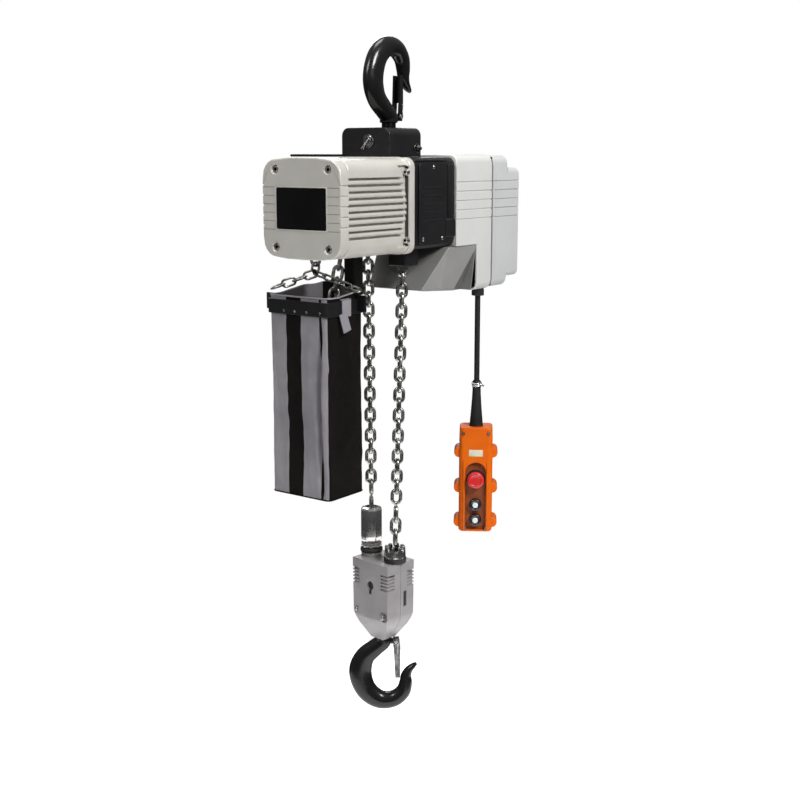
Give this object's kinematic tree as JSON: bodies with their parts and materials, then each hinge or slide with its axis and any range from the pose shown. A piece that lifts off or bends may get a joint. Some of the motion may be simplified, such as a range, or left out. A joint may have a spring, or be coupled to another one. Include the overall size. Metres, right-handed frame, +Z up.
{
  "type": "electric chain hoist",
  "caption": "Hook-mounted electric chain hoist with twin load falls, a hook block, a fabric chain bag and a hand pendant on its cable.",
  "frame": {"origin": "inside top of the upper hook's bowl, where the hoist hangs from its support", "axes": "+Z up; the motor's long axis runs along Y with the motor cover at -Y and the control end at +Y; +X is to the right seen from the motor cover"},
  "size_m": [0.3036, 0.5883, 1.3566],
  "materials": {
    "zinc_steel": "bright zinc plate",
    "silver_enamel": "silver-grey stove enamel on cast aluminium",
    "light_grey_enamel": "light grey enamel",
    "black_enamel": "satin black enamel",
    "gloss_black_plate": "plain gloss black plate",
    "laminated_iron": "laminated iron",
    "grey_plastic": "matt",
    "forged_black": "glossy black over forged steel",
    "latch_steel": "dark pressed steel",
    "cast_aluminium": "sand-cast, grey",
    "buffer_rubber": "matt",
    "bag_fabric": "woven polyester",
    "black_rubber": "matt",
    "orange_plastic": "fine-textured moulding",
    "panel_plastic": "matt",
    "button_black": "gloss",
    "stop_red": "gloss",
    "chain_steel": "zinc-plated grade 80 chain"
  },
  "bodies": {
    "top_hook": {"top_hook": "forged_black", "top_hook_nut": "zinc_steel", "top_latch_pin": "zinc_steel"},
    "top_latch": {"top_hook_latch": "latch_steel"},
    "hoist": {"suspension_bracket": "black_enamel", "thrust_bearing": "zinc_steel", "suspension_pin_front": "zinc_steel", "suspension_pin_rear": "zinc_steel", "torque_arm": "black_enamel", "motor_front_cover": "silver_enamel", "nameplate": "gloss_black_plate", "cover_screw_1": "zinc_steel", "cover_screw_2": "zinc_steel", "cover_screw_3": "zinc_steel", "cover_screw_4": "zinc_steel", "motor_housing": "silver_enamel", "stator": "laminated_iron", "lifting_body": "black_enamel", "side_panel_right": "black_enamel", "side_panel_left": "black_enamel", "chain_guide": "black_enamel", "chain_chute": "black_enamel", "control_housing": "light_grey_enamel", "lower_housing": "light_grey_enamel", "rear_cover": "light_grey_enamel", "contactor": "grey_plastic", "transformer": "laminated_iron", "left_fall_upper": "chain_steel", "right_fall_upper": "chain_steel", "slack_chain": "chain_steel", "bag_eye": "chain_steel", "cable_gland": "black_rubber"},
    "rotor": {"rotor": "laminated_iron"},
    "load_sheave": {"load_sheave": "zinc_steel"},
    "layshaft": {"layshaft": "zinc_steel"},
    "clutch_pinion": {"clutch_pinion": "zinc_steel"},
    "block": {"block_shell_front": "cast_aluminium", "block_shell_rear": "cast_aluminium", "sheave_axle": "zinc_steel", "block_bolt_left": "zinc_steel", "block_bolt_right": "zinc_steel", "left_buffer": "buffer_rubber", "right_buffer": "buffer_rubber", "limit_stop": "zinc_steel", "right_fall_lower": "chain_steel"},
    "idler_sheave": {"idler_sheave": "zinc_steel"},
    "bottom_hook": {"bottom_hook": "forged_black", "bottom_hook_nut": "zinc_steel", "bottom_latch_pin": "zinc_steel"},
    "bottom_latch": {"bottom_hook_latch": "latch_steel"},
    "bag": {"bag_frame": "black_enamel", "chain_bag": "bag_fabric", "bag_hanger": "chain_steel"},
    "pendant": {"pendant_cable": "black_rubber", "cable_boot": "black_rubber", "pendant_shell": "orange_plastic", "pendant_panel": "panel_plastic"},
    "up_button": {"up_button": "button_black"},
    "down_button": {"down_button": "button_black"},
    "estop_button": {"estop_button": "stop_red"}
  },
  "joints": [
    {"name": "top_latch_hinge", "type": "hinge", "parent": "top_hook", "child": "top_latch", "pos_m": [0, 0.026, -0.112], "axis": [1, 0, 0], "range_deg": [0, 35], "stiffness_Nm_per_rad": 0.15, "springref_deg": -20.05},
    {"name": "top_hook_swivel", "type": "hinge", "parent": "top_hook", "child": "hoist", "pos_m": [0, 0, -0.132], "axis": [0, 0, 1], "continuous": true},
    {"name": "block_lift", "type": "slide", "parent": "hoist", "child": "block", "axis": [0, 0, 1], "range_m": [0, 0.42], "deforming": ["left_fall_upper", "right_fall_upper"]},
    {"name": "load_sheave_spin", "type": "hinge", "parent": "hoist", "child": "load_sheave", "pos_m": [0, 0, -0.276], "axis": [0, 1, 0], "range_deg": [-1420, 0]},
    {"name": "layshaft_spin", "type": "hinge", "parent": "hoist", "child": "layshaft", "pos_m": [-0.03394, 0, -0.24206], "axis": [0, 1, 0], "range_deg": [0, 4250]},
    {"name": "clutch_pinion_spin", "type": "hinge", "parent": "hoist", "child": "clutch_pinion", "pos_m": [0, 0, -0.276], "axis": [0, 1, 0], "range_deg": [-12745, 0]},
    {"name": "rotor_spin", "type": "hinge", "parent": "hoist", "child": "rotor", "pos_m": [0, 0, -0.276], "axis": [0, 1, 0], "continuous": true},
    {"name": "idler_spin", "type": "hinge", "parent": "block", "child": "idler_sheave", "pos_m": [-0.016, 0, -1.049], "axis": [0.1392, 0.9903, 0], "range_deg": [-710, 0]},
    {"name": "bottom_hook_swivel", "type": "hinge", "parent": "block", "child": "bottom_hook", "pos_m": [-0.016, 0, -1.1606], "axis": [0, 0, 1], "continuous": true},
    {"name": "bottom_latch_hinge", "type": "hinge", "parent": "bottom_hook", "child": "bottom_latch", "pos_m": [0.00503, 0.01528, -1.1706], "axis": [-0.5878, 0.809, 0], "range_deg": [0, 35], "stiffness_Nm_per_rad": 0.15, "springref_deg": -20.05},
    {"name": "bag_swing", "type": "hinge", "parent": "hoist", "child": "bag", "pos_m": [-0.074, -0.133, -0.385], "axis": [1, 0, 0], "range_deg": [-6, 1], "deforming": ["slack_chain"]},
    {"name": "pendant_swing", "type": "hinge", "parent": "hoist", "child": "pendant", "pos_m": [0.068, 0.213, -0.458], "axis": [1, 0, 0], "range_deg": [-12, 12]},
    {"name": "up_button_push", "type": "slide", "parent": "pendant", "child": "up_button", "axis": [-0.5446, 0.8387, 0], "range_m": [0, 0.004], "stiffness_N_per_m": 1500, "springref_m": -0.001},
    {"name": "down_button_push", "type": "slide", "parent": "pendant", "child": "down_button", "axis": [-0.5446, 0.8387, 0], "range_m": [0, 0.004], "stiffness_N_per_m": 1500, "springref_m": -0.001},
    {"name": "estop_push", "type": "slide", "parent": "pendant", "child": "estop_button", "axis": [-0.5446, 0.8387, 0], "range_m": [0, 0.005]}
  ],
  "couplings": [
    {"joint": "load_sheave_spin", "follows": "block_lift", "rad_per_m": -58.824},
    {"joint": "layshaft_spin", "follows": "block_lift", "rad_per_m": 176.47},
    {"joint": "clutch_pinion_spin", "follows": "block_lift", "rad_per_m": -529.41},
    {"joint": "idler_spin", "follows": "block_lift", "rad_per_m": -29.412}
  ]
}
